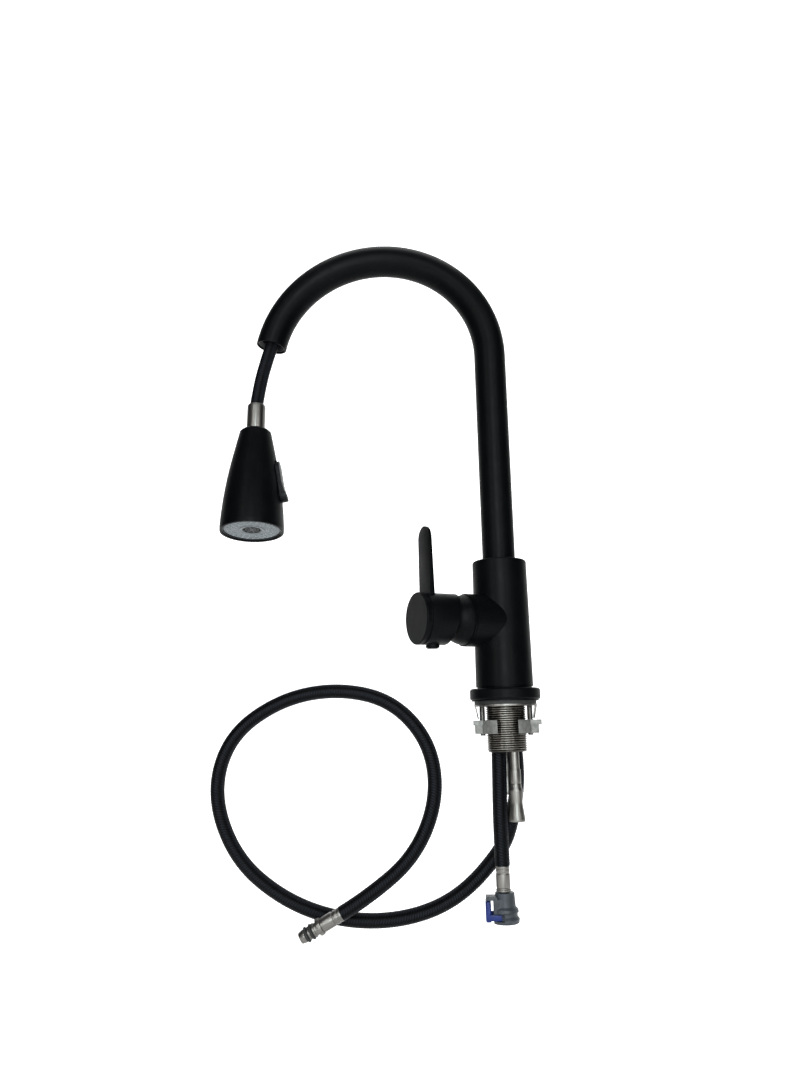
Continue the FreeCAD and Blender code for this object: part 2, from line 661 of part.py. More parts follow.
def nozzle_mat():
    """The soft mat behind the face, whose nozzles stand through its holes."""
    mat = ring(on_head(FACE_TOP + 10.4), HEAD, 24.6, 11.8, 2.2)
    return mat.fuse(nozzle_rods(NOZZLE_R, FACE_TOP + 12.0, 5.9).Solids)


def face_trim():
    """The plain ring round the spray face."""
    return ring(on_head(FACE_TOP + 12.6), HEAD, 26.1, 25.05, 5.2)


def aerator_housing():
    """The aerator's sleeve in the middle of the spray face."""
    outline = [(8.6, FACE_TOP), (11.4, FACE_TOP), (11.4, FACE_TOP + 17.4), (10.6, FACE_TOP + 17.8),
               (8.6, FACE_TOP + 17.8)]
    return turned(outline, HEAD_TOP, HEAD)


def aerator_grid():
    """The round outlet grid: three rings on crossing bars."""
    start = on_head(FACE_TOP + 14.6)
    grid = ring(start, HEAD, 8.6, 7.6, 2.4)
    parts = [ring(start, HEAD, r + 0.35, r - 0.35, 2.4) for r in (1.4, 3.4, 5.5)]
    for i in range(4):
        angle = math.pi * i / 4
        across = BUTTON_OUT * math.cos(angle) + BUTTON_SIDE * math.sin(angle)
        parts.append(box_about(start + HEAD * 1.2, across, HEAD.cross(across), (16.4, 0.7, 2.4)))
    return grid.fuse(parts)


# ---- clamp under the deck -----------------------------------------------------------------
def screw_places():
    """The two clamp screws' axes, left and right of the shank, a little towards the open side."""
    y = -SCREW_REACH * math.sin(math.radians(SCREW_ANGLE))
    x = SCREW_REACH * math.cos(math.radians(SCREW_ANGLE))
    return ((-x, y), (x, y))


def deck_washer():
    """The steel washer under the deck, with two bent ears that keep the screws' tips."""
    washer = ring(V(0, 0, -WASHER_THICK), Z, WASHER_R, SHANK_R + 0.5, WASHER_THICK)
    ears = []
    for x, _ in screw_places():
        out = math.copysign(1, x)
        top_x = x + out * 4.8
        tip_x = x + out * 2.8
        plate = Part.makePolygon([V(top_x, -9, -WASHER_THICK), V(top_x, 9, -WASHER_THICK), V(tip_x, 6, -11.4),
                                  V(tip_x, -6, -11.4), V(top_x, -9, -WASHER_THICK)])
        ears.append(Part.Face(plate).extrude(V(out * 1.1, 0, 0)))
    return washer.fuse(ears)


def horseshoe_nut():
    """The open cast nut on the shank's thread, with a lug each side for a clamp screw."""
    low = NUT_BOTTOM
    outer = rod(V(0, 0, low), Z, 22.6, LUG_TOP - low)
    lugs = []
    for x, y in screw_places():
        out = math.copysign(1, x)
        block = Part.makeBox(13.0, 15.0, LUG_TOP - low - 3.6, V(x - 6.5, y - 7.5, low))
        plate = Part.makeBox(15.0, 17.0, 4.0, V(x - 7.0 + out * 0.8, y - 8.5, LUG_TOP - 4.0))
        lugs += [block, plate]
    nut = outer.fuse(lugs)
    nut = nut.cut(rod(V(0, 0, low - 1), Z, SHANK_R + 0.06, 20))
    nut = nut.cut(Part.makeBox(17.0, 40.0, 20.0, V(-8.0, -40.0, low - 2)))
    for x, y in screw_places():
        nut = nut.cut(rod(V(x, y, low - 1), Z, SCREW_R + 0.05, 20))
    return nut


def clamp_screws():
    """The two slotted screws that press the washer up against the deck."""
    foot = NUT_BOTTOM - 1.6
    screws = []
    for x, y in screw_places():
        body = rod(V(x, y, foot), Z, SCREW_R, -WASHER_THICK - 0.1 - foot)
        slot = Part.makeBox(6.0, 0.9, 1.2, V(x - 3.0, y - 0.45, foot - 0.1))
        screws.append(body.cut(slot))
    return Part.makeCompound(screws)


# ---- inlets, outlet and hoses -------------------------------------------------------------
def inlet_pipe(place, end):
    """A supply pipe from the core down into its end fitting."""
    foot = end + FITTING_PIPE_SEAT
    return column(place, foot, PIPE_TOP, PIPE_R).cut(column(place, foot, PIPE_TOP, PIPE_R - PIPE_WALL))


def inlet_fitting(place, end, sleeve):
    """The inlet's end: a sleeve on the pipe, a waisted ferrule and a flared socket."""
    throat = PIPE_R - PIPE_WALL
    outline = [(PIPE_R, sleeve), (4.5, sleeve, 0.2), (4.7, 26.5), (5.6, 24.0, 1.5), (5.0, 14.0, 12.0),
               (6.6, 2.0, 1.5), (6.6, 0), (INLET_BORE_R, 0), (INLET_BORE_R, INLET_BORE_DEPTH),
               (throat, INLET_BORE_DEPTH), (throat, FITTING_PIPE_SEAT), (PIPE_R, FITTING_PIPE_SEAT)]
    return turned(outline, V(place[0], place[1], end), Z)


def cold_inlet_pipe():
    return inlet_pipe(COLD_PIPE, COLD_END)


def hot_inlet_pipe():
    return inlet_pipe(HOT_PIPE, HOT_END)


def cold_inlet_fitting():
    return inlet_fitting(COLD_PIPE, COLD_END, COLD_SLEEVE)


def hot_inlet_fitting():
    return inlet_fitting(HOT_PIPE, HOT_END, HOT_SLEEVE)


def outlet_hose():
    return cord("outlet_hose", OUTLET_ROUTE, HOSE_R)


def outlet_ferrule():
    """The crimped ferrule at the outlet hose's end, grooved near both ends."""
    start = V(*OUTLET_ROUTE[-1])
    axis = (FERRULE_FOOT - start).normalize()
    length = (FERRULE_FOOT - start).Length
    outline = [(0, 0), (5.5, 0, 0.4), (5.5, 4.6), (5.2, 5.0), (5.2, 5.8), (5.6, 6.4), (5.7, 16.4),
               (5.4, 16.8), (5.4, 17.6), (5.9, 18.0), (5.9, length, 0.3), (0, length)]
    return turned(outline, start, axis)


def connector_barb():
    """The black barb between the ferrule and the quick connector."""
    return column(FERRULE_FOOT, SOCKET_TOP - 5.0, BARB_TOP, BARB_R)


def connector_housing():
    """The quick connector: a collar, a side wing with the clip's grooves and a flared skirt."""
    centre = V(SOCKET_X, SOCKET_Y, SOCKET_FOOT)
    outline = [(0, 0), (10.6, 0, 1.0), (11.2, 3.4), (9.6, 5.4), (9.6, 7.6), (10.6, 8.6), (10.2, 10.8),
               (8.4, 12.4), (7.7, 22.8, 0.4), (0, 22.8)]
    flat = Part.makeBox(12.0, 28.0, 18.5, centre + V(CLIP_SIDE_X - 12.0, -14.0, -1.0))
    wing = Part.makeBox(9.4, 15.2, 16.8, centre + V(CLIP_SIDE_X, -7.6, 1.6))
    ledge = Part.makeBox(9.0, 14.0, 2.2, centre + V(-15.2, -7.0, 17.6))
    solid = turned(outline, centre, Z).cut(flat).fuse([wing, ledge])
    bore = turned([(0, 0), (SOCKET_R + 1.2, 0), (SOCKET_R, 1.2), (SOCKET_R, SOCKET_DEPTH), (0, SOCKET_DEPTH)],
                  centre, Z)
    grooves = [Part.makeBox(16.0, 6.0, 5.2, centre + V(-17.0, y, 2.4)) for y in (-12.2, 6.2)]
    barb_seat = column(FERRULE_FOOT, SOCKET_TOP - 5.0, SOCKET_TOP + 1.0, BARB_R)
    return solid.cut(Part.makeCompound([bore, barb_seat] + grooves)).Solids[0]


def connector_clip():
    """The blue release clip: a pad on the connector's side and two legs in its grooves."""
    centre = V(SOCKET_X, SOCKET_Y, SOCKET_FOOT)
    pad = Part.makeBox(4.4, 15.2, 15.8, centre + V(-15.7, -7.6, 1.4))
    pad = pad.makeFillet(1.4, pad.Edges)
    legs = [Part.makeBox(10.0, 1.9, 4.4, centre + V(-13.0, y, 2.8)) for y in (-8.5, 6.6)]
    return pad.fuse(legs)


def connector_seal():
    return torus(V(SOCKET_X, SOCKET_Y, SOCKET_FOOT + 13.0), Z, SOCKET_R - 0.9, 0.9)


def pullout_hose():
    return cord("pullout_hose", PULL_ROUTE, HOSE_R)


def plug_frame():
    end = V(*PULL_ROUTE[-1])
    axis = (end - V(*PULL_ROUTE[-2])).normalize()
    return end, axis


def plug_ferrule():
    start, axis = plug_frame()
    outline = [(0, 0), (5.7, 0, 0.4), (5.7, 5.6), (5.3, 6.0), (5.3, 7.0), (5.9, 7.4), (5.9, PLUG_COLLAR),
               (0, PLUG_COLLAR)]
    return turned(outline, start, axis)


def plug_body():
    start, axis = plug_frame()
    outline = [(0, PLUG_COLLAR), (6.9, PLUG_COLLAR, 0.3), (6.9, 21.4, 0.3), (5.0, 21.4), (5.0, 24.0),
               (5.7, 24.0), (5.7, 25.6), (PLUG_GROOVE_R, 25.6), (PLUG_GROOVE_R, 28.4), (5.2, 28.4),
               (5.2, 30.0), (PLUG_GROOVE_R, 30.0), (PLUG_GROOVE_R, 32.8), (5.2, 32.8), (5.2, 34.0),
               (4.4, 37.6), (2.4, 37.6), (2.4, 22.0), (0, 22.0)]
    return turned(outline, start, axis)


def plug_seals():
    start, axis = plug_frame()
    return Part.makeCompound([torus(start + axis * t, axis, PLUG_GROOVE_R + 1.05, 1.05) for t in PLUG_SEALS])


def body_hoses():
    """The two hoses inside the body: the pull-out hose and the start of the outlet hose."""
    return Part.makeCompound([slanted_hose(HOSE_R, SHANK_BOTTOM, SPOUT_FOOT - 0.2),
                              column(OUTLET_HOSE, SHANK_BOTTOM, CORE_PLATE_FOOT - 4.6, HOSE_R)])


def spout_hose():
    """The pull-out hose inside the spout, up the riser and round the arc."""
    step = math.radians(30)
    reach = ARC_R / math.cos(step / 2)
    points = [(PULL_HOSE_HIGH[0], PULL_HOSE_HIGH[1], SPOUT_FOOT)]
    for i in range(5):
        angle = step * (i + 0.5)
        points.append((reach * math.cos(angle) - ARC_R, 0, ARC_START + reach * math.sin(angle)))
    last = step * 5
    points.append((ARC_R * math.cos(last) - ARC_R, 0, ARC_START + ARC_R * math.sin(last)))
    return cord("spout_hose", points, HOSE_R)


def spray_hose_drop():
    """The hose between the spout's inside and the spray head's nut."""
    angle = math.radians(DROP_START_ANGLE)
    start = V(ARC_R * math.cos(angle) - ARC_R, 0, ARC_START + ARC_R * math.sin(angle))
    end = BALL - HEAD * (NUT_ABOVE_BALL + 1.0)
    points = [tuple(start)] + DROP_POINTS + [tuple(end)]
    return cord("spray_hose_drop", points, HOSE_R)


NODES = [
    base_gasket, base_ring, threaded_shank, body_shell, waterway_core, spout_bearing_sleeve,
    spout_top_bush, spout_seals, spout_tube, spout_retaining_ring, spout_end_insert,
    cartridge_housing, cartridge_nut, fixed_disc, moving_disc, disc_carrier, cartridge_spindle,
    stem_pin, stem, dome_cover, handle_lever, handle_cap, handle_set_screw, set_screw_plug,
    hose_end_ball, hose_nut, ball_seat, head_shell, rocker_pocket, rocker_button, rocker_pin,
    head_inlet, inlet_washer, check_valve, diverter_spool, face_plate, nozzle_mat, face_trim,
    aerator_housing, aerator_grid, deck_washer, horseshoe_nut, clamp_screws, cold_inlet_pipe,
    hot_inlet_pipe, cold_inlet_fitting, hot_inlet_fitting, outlet_hose, outlet_ferrule,
    connector_barb, connector_housing, connector_clip, connector_seal, pullout_hose, plug_ferrule,
    plug_body, plug_seals, body_hoses, spout_hose, spray_hose_drop,
]

os.makedirs("parts", exist_ok=True)
for make in NODES:
    name = make.__name__
    shape = make()
    facts = (name, len(shape.Solids), shape.isValid(), shape.Volume)
    print("%-22s solids %d valid %s volume %.1f" % facts)
    shape.exportStep("parts/%s.step" % name)
print("nodes", len(NODES))
print("ball", tuple(BALL), "outlet", tuple(OUTLET))
print("head", tuple(HEAD), "head top", tuple(HEAD_TOP))
print("tilt axis", tuple(TILT_AXIS), "dock tilt", DOCK_TILT, "dock travel", DOCK_TRAVEL)
print("arm", tuple(ARM), "side", tuple(SIDE), "pivot", tuple(on_arm(PIVOT_A)))
print("rocker", [tuple(v) for v in rocker_frame()], "side", tuple(BUTTON_SIDE))
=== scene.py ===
import json
import math

import bmesh
import bpy
import numpy as np
from mathutils import Matrix, Vector


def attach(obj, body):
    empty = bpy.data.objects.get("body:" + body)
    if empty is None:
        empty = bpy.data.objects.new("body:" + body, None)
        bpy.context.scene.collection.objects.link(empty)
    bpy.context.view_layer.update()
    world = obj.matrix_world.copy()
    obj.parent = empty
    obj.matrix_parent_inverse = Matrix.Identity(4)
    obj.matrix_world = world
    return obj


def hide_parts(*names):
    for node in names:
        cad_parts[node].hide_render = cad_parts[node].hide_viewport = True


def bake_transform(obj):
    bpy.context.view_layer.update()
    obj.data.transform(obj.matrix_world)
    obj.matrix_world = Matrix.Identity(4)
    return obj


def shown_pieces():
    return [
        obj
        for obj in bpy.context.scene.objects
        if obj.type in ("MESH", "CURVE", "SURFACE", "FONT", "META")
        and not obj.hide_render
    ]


# Pull-down kitchen faucet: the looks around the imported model. Places in Blender are in metres, in the
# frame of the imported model. Outlines and sizes of pieces are in millimetres and become metres through MM.

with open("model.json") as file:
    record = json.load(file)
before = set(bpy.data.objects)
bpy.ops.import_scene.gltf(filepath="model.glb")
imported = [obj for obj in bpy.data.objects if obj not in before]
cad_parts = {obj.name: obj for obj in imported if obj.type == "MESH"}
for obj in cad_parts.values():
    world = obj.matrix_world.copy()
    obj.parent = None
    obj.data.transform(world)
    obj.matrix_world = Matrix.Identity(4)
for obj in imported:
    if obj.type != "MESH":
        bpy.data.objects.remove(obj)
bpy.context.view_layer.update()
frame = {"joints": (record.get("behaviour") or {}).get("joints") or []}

MM = 0.001
JOINTS = {j["name"]: j for j in frame["joints"]}
HEAD = Vector(JOINTS["spray_swivel"]["axis"])
HEAD_TOP = Vector(JOINTS["spray_swivel"]["pos_m"])
BALL = Vector(JOINTS["spray_tilt"]["pos_m"])
BUTTON_SIDE = Vector(JOINTS["mode_rocker"]["axis"])
BUTTON_OUT = BUTTON_SIDE.cross(HEAD)


# ---- camera and lights --------------------------------------------------------------------
CAMERA_PLACE = (-0.02664, -0.70067, -0.01232)
CAMERA_YAW = 0.0837
CAMERA_PITCH = 0.2116
CAMERA_ROLL = -0.0198
CAMERA_LENS = 27.06


def make_camera():
    data = bpy.data.cameras.new("camera")
    data.sensor_width = 36.0
    data.lens = CAMERA_LENS
    data.clip_start = 0.02
    camera = bpy.data.objects.new("camera", data)
    turn = Matrix.Rotation(CAMERA_YAW, 4, "Z") @ Matrix.Rotation(math.pi / 2 + CAMERA_PITCH, 4, "X")
    camera.matrix_world = Matrix.Translation(CAMERA_PLACE) @ turn @ Matrix.Rotation(CAMERA_ROLL, 4, "Z")
    bpy.context.scene.collection.objects.link(camera)
    bpy.context.scene.camera = camera


def area_light(name, place, target, size, power, tint=(1, 1, 1)):
    data = bpy.data.lights.new(name, "AREA")
    data.shape = "RECTANGLE"
    data.size, data.size_y = size
    data.energy = power
    data.color = tint
    light = bpy.data.objects.new(name, data)
    direction = Vector(target) - Vector(place)
    light.matrix_world = Matrix.Translation(place) @ direction.to_track_quat("-Z", "Y").to_matrix().to_4x4()
    bpy.context.scene.collection.objects.link(light)


make_camera()


# ---- mesh tools ---------------------------------------------------------------------------
def frame_at(origin, along, across=Vector((1, 0, 0))):
    """A local frame with Z along one direction and X as near as it gets to another."""
    z = Vector(along).normalized()
    x = (Vector(across) - z * Vector(across).dot(z)).normalized()
    y = z.cross(x)
    rows = [[x[i], y[i], z[i], Vector(origin)[i]] for i in range(3)]
    return Matrix(rows + [[0, 0, 0, 1]])


def finish_mesh(made, name, sharp=32.0):
    """A mesh from a bmesh, smooth but for its true edges."""
    bmesh.ops.recalc_face_normals(made, faces=made.faces)
    mesh = bpy.data.meshes.new(name)
    made.to_mesh(mesh)
    made.free()
    mesh.polygons.foreach_set("use_smooth", [True] * len(mesh.polygons))
    mesh.set_sharp_from_angle(angle=math.radians(sharp))
    return mesh


def corner_points(before, here, after, size):
    """One outline corner as a short arc."""
    back, ahead = before - here, after - here
    half = (math.pi - back.angle(ahead)) / 2
    if half < 0.04 or size <= 0 or here.x < 1e-6:
        return [here]
    reach = min(size * math.tan(half), 0.46 * back.length, 0.46 * ahead.length)
    radius = reach / math.tan(half)
    centre = here + (back.normalized() + ahead.normalized()).normalized() * radius / math.cos(half)
    start = here + back.normalized() * reach - centre
    end = here + ahead.normalized() * reach - centre
    steps = max(2, math.ceil(half / 0.22))
    return [centre + start.slerp(end, k / steps).normalized() * radius for k in range(steps + 1)]


def outline_points(outline, soften):
    """A closed outline of (radius, height) or (radius, height, rounding) with its corners eased."""
    corners = [Vector(p[:2]) for p in outline]
    points = []
    for i, here in enumerate(corners):
        size = outline[i][2] if len(outline[i]) > 2 else soften
        points += corner_points(corners[i - 1], here, corners[(i + 1) % len(corners)], size)
    return points


def lathe(name, outline, around=96, soften=0.25, sharp=32.0, shift=None):
    """A turned mesh. The outline is in millimetres; shift(radius, height, angle) moves a point."""
    made = bmesh.new()
    rows = []
    for point in outline_points(outline, soften):
        if point.x < 1e-6:
            rows.append([made.verts.new((0, 0, point.y * MM))] * around)
            continue
        row = []
        for k in range(around):
            angle = 2 * math.pi * k / around
            radius, height = shift(point.x, point.y, angle) if shift else point
            place = (radius * math.cos(angle) * MM, radius * math.sin(angle) * MM, height * MM)
            row.append(made.verts.new(place))
        rows.append(row)
    for i, row in enumerate(rows):
        after = rows[(i + 1) % len(rows)]
        for k in range(around):
            corners = dict.fromkeys((row[k], row[(k + 1) % around], after[(k + 1) % around], after[k]))
            if len(corners) > 2:
                made.faces.new(list(corners))
    if shift:
        bmesh.ops.remove_doubles(made, verts=made.verts, dist=1e-6)
    return finish_mesh(made, name, sharp)


def along_line(line):
    """Distances, tangents and two steady normals at every point of a line."""
    line = np.array(line, float)
    steps = np.diff(line, axis=0)
    lengths = np.linalg.norm(steps, axis=1)
    distance = np.concatenate([[0], np.cumsum(lengths)])
    tangent = np.gradient(line, distance, axis=0)
    tangent /= np.linalg.norm(tangent, axis=1)[:, None]
    normal = np.cross(tangent[0], [0, 1, 0] if abs(tangent[0][1]) < 0.9 else [1, 0, 0])
    normals = []
    for t in tangent:
        normal = normal - t * (normal @ t)
        normal /= np.linalg.norm(normal)
        normals.append(normal)
    normals = np.array(normals)
    return distance, tangent, normals, np.cross(tangent, normals)


def resampled(line, step):
    """The same line with points about one step apart."""
    line = np.array(line, float)
    distance = np.concatenate([[0], np.cumsum(np.linalg.norm(np.diff(line, axis=0), axis=1))])
    wanted = np.linspace(0, distance[-1], max(2, int(distance[-1] / step)))
    return np.stack([np.interp(wanted, distance, line[:, i]) for i in range(3)], axis=1)


def grid_mesh(name, points, closed_across, cap_ends):
    """A mesh over a grid of points, row by row."""
    rows, across = points.shape[:2]
    index = np.arange(rows * across).reshape(rows, across)
    last = across if closed_across else across - 1
    faces = []
    for k in range(last):
        a, b = index[:, k], index[:, (k + 1) % across]
        faces.append(np.stack([a[:-1], b[:-1], b[1:], a[1:]], axis=1))
    faces = np.concatenate(faces).tolist()
    if cap_ends:
        faces += [index[0][::-1].tolist(), index[-1].tolist()]
    mesh = bpy.data.meshes.new(name)
    mesh.from_pydata(points.reshape(-1, 3).tolist(), [], faces)
    mesh.polygons.foreach_set("use_smooth", [True] * len(mesh.polygons))
    return mesh


def tube_mesh(name, line, radius, around=40):
    """A round tube of a radius in metres along a line."""
    _, _, side, top = along_line(line)
    angles = np.linspace(0, 2 * math.pi, around, endpoint=False)
    ring = side[:, None] * np.cos(angles)[None, :, None] + top[:, None] * np.sin(angles)[None, :, None]
    mesh = grid_mesh(name, np.array(line)[:, None] + ring * radius, True, True)
    mesh.set_sharp_from_angle(angle=math.radians(50))
    return mesh


# ---- the braid ----------------------------------------------------------------------------
BRAID_R = 6.15 * MM
BRAID_STRANDS = 12
BRAID_PITCH = 26.5 * MM
STRAND_FILL = 0.97
STRAND_MIDDLE_R = BRAID_R - 0.27 * MM
STRAND_WAVE = 0.26 * MM
STRAND_ROUNDING = 0.13 * MM
YARN_RELIEF = 0.09 * MM
CORE_R = 5.35 * MM


def braid_mesh(name, line, yarns, hand):
    """The strands of a braid that turn one way, each a flat ribbon that goes over two and under two."""
    crossing = BRAID_PITCH / (2 * BRAID_STRANDS)
    line = resampled(line, crossing / 2)
    distance, _, side, top = along_line(line)
    turn = 2 * math.pi / BRAID_PITCH * hand
    lean = math.atan(2 * math.pi * BRAID_R / BRAID_PITCH)
    width = 2 * math.pi * BRAID_R / BRAID_STRANDS * math.cos(lean) * STRAND_FILL
    across = np.linspace(-0.5, 0.5, 2 * yarns + 1)
    crown = np.where(np.arange(len(across)) % 2 == 1, 0.0, -YARN_RELIEF)
    crown = crown - STRAND_ROUNDING * (np.abs(across) * 2) ** 3
    strips, texture = [], []
    for i in range(BRAID_STRANDS):
        phase = distance / crossing
        weave = np.cos(math.pi / 2 * (2 * i + hand * phase - 0.5)) * hand
        height = STRAND_MIDDLE_R + STRAND_WAVE * weave
        angle = 2 * math.pi * i / BRAID_STRANDS + turn * distance
        out = side * np.cos(angle)[:, None] + top * np.sin(angle)[:, None]
        around = top * np.cos(angle)[:, None] - side * np.sin(angle)[:, None]
        reach = across * width / math.cos(lean) / BRAID_R
        points = []
        for k, offset in enumerate(reach):
            bent = out * math.cos(offset) + around * math.sin(offset)
            points.append(line + bent * (height + crown[k])[:, None])
        strips.append(np.stack(points, axis=1))
        layers = np.broadcast_arrays(across[None, :] * yarns, distance[:, None], weave[:, None])
        texture.append(np.stack(layers, axis=2))
    rows, columns = strips[0].shape[:2]
    index = np.arange(rows * columns).reshape(rows, columns)
    faces = np.stack([index[:-1, :-1], index[:-1, 1:], index[1:, 1:], index[1:, :-1]], axis=2).reshape(-1, 4)
    if hand < 0:
        faces = faces[:, ::-1]
    faces = np.concatenate([faces + rows * columns * i for i in range(BRAID_STRANDS)])
    mesh = bpy.data.meshes.new(name)
    mesh.from_pydata(np.concatenate(strips).reshape(-1, 3).tolist(), [], faces[:, ::-1].tolist())
    mesh.polygons.foreach_set("use_smooth", [True] * len(mesh.polygons))
    attribute = mesh.attributes.new("strand", "FLOAT_VECTOR", "POINT")
    attribute.data.foreach_set("vector", np.concatenate(texture).astype(np.float32).ravel())
    return mesh


# ---- materials ----------------------------------------------------------------------------
class Look:
    """A node material under construction, all of it from the piece's own object coordinates."""

    def __init__(self, name):
        self.material = bpy.data.materials.new(name + "_look")
        self.material.use_nodes = True
        self.nodes = self.material.node_tree.nodes
        self.links = self.material.node_tree.links
        self.shader = self.nodes["Principled BSDF"]
        self.coords = self.nodes.new("ShaderNodeTexCoord").outputs["Object"]

    def put(self, kind, sources=(), **settings):
        node = self.nodes.new(kind)
        for key, value in settings.items():
            setattr(node, key, value)
        for socket, source in sources:
            if isinstance(source, bpy.types.NodeSocket):
                self.links.new(source, node.inputs[socket])
            else:
                node.inputs[socket].default_value = source
        return node

    def noise(self, scale, stretch=(1, 1, 1), detail=4.0):
        place = self.put("ShaderNodeMapping", [("Vector", self.coords), ("Scale", stretch)]).outputs[0]
        sources = [("Vector", place), ("Scale", scale), ("Detail", detail)]
        return self.put("ShaderNodeTexNoise", sources).outputs["Fac"]

    def spread(self, value, low, high, start=0.3, stop=0.7):
        made = self.put("ShaderNodeMapRange", [(0, value), (1, start), (2, stop), (3, low), (4, high)])
        return made.outputs[0]

    def maths(self, operation, a, b=0.0):
        return self.put("ShaderNodeMath", [(0, a), (1, b)], operation=operation).outputs[0]

    def vector(self, operation, *sources):
        return self.put("ShaderNodeVectorMath", sources, operation=operation)

    def tone(self, value, *stops):
        ramp = self.put("ShaderNodeValToRGB", [("Fac", value)])
        elements = ramp.color_ramp.elements
        while len(elements) < len(stops):
            elements.new(0.5)
        for element, (place, colour) in zip(elements, stops):
            element.position = place
            element.color = (*colour, 1)
        return ramp.outputs["Color"]

    def bump(self, height, strength, distance, normal=None):
        sources = [("Height", height), ("Strength", strength), ("Distance", distance)]
        if normal:
            sources.append(("Normal", normal))
        return self.put("ShaderNodeBump", sources).outputs[0]

    def wear(self, **sockets):
        for name, value in sockets.items():
            socket = self.shader.inputs[name.replace("_", " ")]
            if isinstance(value, bpy.types.NodeSocket):
                self.links.new(value, socket)
            else:
                socket.default_value = value
        return self.material


def plain_look(name, dark, light, rough, metal=0.0, specular=0.5, cloud=60.0, grain=2600.0, depth=0.02):
    """Cast, moulded or painted stuff: a clouded tone, uneven gloss and a fine grain."""
    look = Look(name)
    clouds = look.noise(cloud)
    fine = look.noise(grain, detail=3.0)
    relief = look.bump(fine, 0.35, depth * MM)
    colour = look.tone(clouds, (0.35, dark), (0.68, light))
    gloss = look.spread(look.noise(cloud * 2.3), *rough)
    look.shader.inputs["Specular IOR Level"].default_value = specular
    return look.wear(Base_Color=colour, Roughness=gloss, Metallic=metal, Normal=relief)


def brushed_look(name, dark, light, rough, stretch, metal=1.0, depth=0.03, root=None):
    """Turned or brushed metal: fine streaks along the stretched direction, with painted shade that darkens a
    thread's roots.
    """
    look = Look(name)
    streaks = look.noise(1.0, stretch, detail=6.0)
    clouds = look.noise(70.0)
    colour = look.tone(streaks, (0.3, dark), (0.7, light))
    gloss = look.spread(look.maths("ADD", streaks, look.maths("MULTIPLY", clouds, 0.5)), *rough, 0.45, 1.05)
    # painted shade: when root radii are given, the colour falls to 0.05 of itself in a thread's roots and is
    # full at the crests
    if root:
        across = look.vector("MULTIPLY", (0, look.coords), (1, (1, 1, 0))).outputs[0]
        radius = look.vector("LENGTH", (0, across)).outputs["Value"]
        shade = look.spread(radius, 0.05, 1.0, *root)
        colour = look.vector("SCALE", (0, colour), ("Scale", shade)).outputs[0]
    relief = look.bump(streaks, 0.3, depth * MM)
    return look.wear(Base_Color=colour, Roughness=gloss, Metallic=metal, Normal=relief)


def braid_look(name, crown):
    """Black nylon: fine twisted yarns along each strand, with painted shade in the gaps between yarns and
    where a strand runs under, and a painted faint blue sheen on the crowns.
    """
    look = Look(name)
    strand = look.put("ShaderNodeAttribute", attribute_name="strand").outputs["Vector"]
    parts = look.put("ShaderNodeSeparateXYZ", [(0, strand)]).outputs
    # painted shade: yarn is low in the gaps between yarns, and the colour below darkens with it
    yarn = look.maths("ABSOLUTE", look.maths("SINE", look.maths("MULTIPLY", parts[0], math.pi)))
    slant = look.maths("ADD", look.maths("MULTIPLY", parts[1], 9000.0), look.maths("MULTIPLY", parts[0], 5.0))
    twist = look.maths("SINE", slant)
    lift = look.maths("ADD", look.maths("MULTIPLY", yarn, 0.75), look.maths("MULTIPLY", twist, 0.12))
    clouds = look.noise(220.0)
    # painted shade: a strand's colour drops to an eighth where it runs under another
    over = look.spread(parts[2], 0.12, 1.0, -0.6, 0.9)
    mixed = look.maths("ADD", look.maths("MULTIPLY", lift, 0.7), look.maths("MULTIPLY", clouds, 0.4))
    # the crown colour is a painted faint blue sheen on the tops of the strands
    colour = look.tone(look.maths("MULTIPLY", over, mixed), (0.12, (0.0002, 0.0002, 0.0003)), (0.9, crown))
    gloss = look.spread(clouds, 0.32, 0.5)
    look.shader.inputs["Specular IOR Level"].default_value = 0.05
    return look.wear(Base_Color=colour, Roughness=gloss, Normal=look.bump(lift, 0.6, 0.1 * MM))


def woven_look(name):
    """The braid as seen on the plain hoses inside the body and the tube."""
    look = Look(name)
    waves = []
    for side in (-1, 1):
        turn = [("Vector", look.coords), ("Rotation", (0, side * 0.9, 0))]
        turned = look.put("ShaderNodeMapping", turn).outputs[0]
        sources = [("Vector", turned), ("Scale", 130.0), ("Distortion", 0.6)]
        waves.append(look.put("ShaderNodeTexWave", sources).outputs["Fac"])
    weave = look.maths("MULTIPLY", waves[0], waves[1])
    colour = look.tone(weave, (0.1, (0.001, 0.001, 0.0014)), (0.9, (0.005, 0.006, 0.008)))
    look.shader.inputs["Specular IOR Level"].default_value = 0.08
    gloss = look.spread(weave, 0.5, 0.35)
    return look.wear(Base_Color=colour, Roughness=gloss, Normal=look.bump(weave, 0.5, 0.2 * MM))


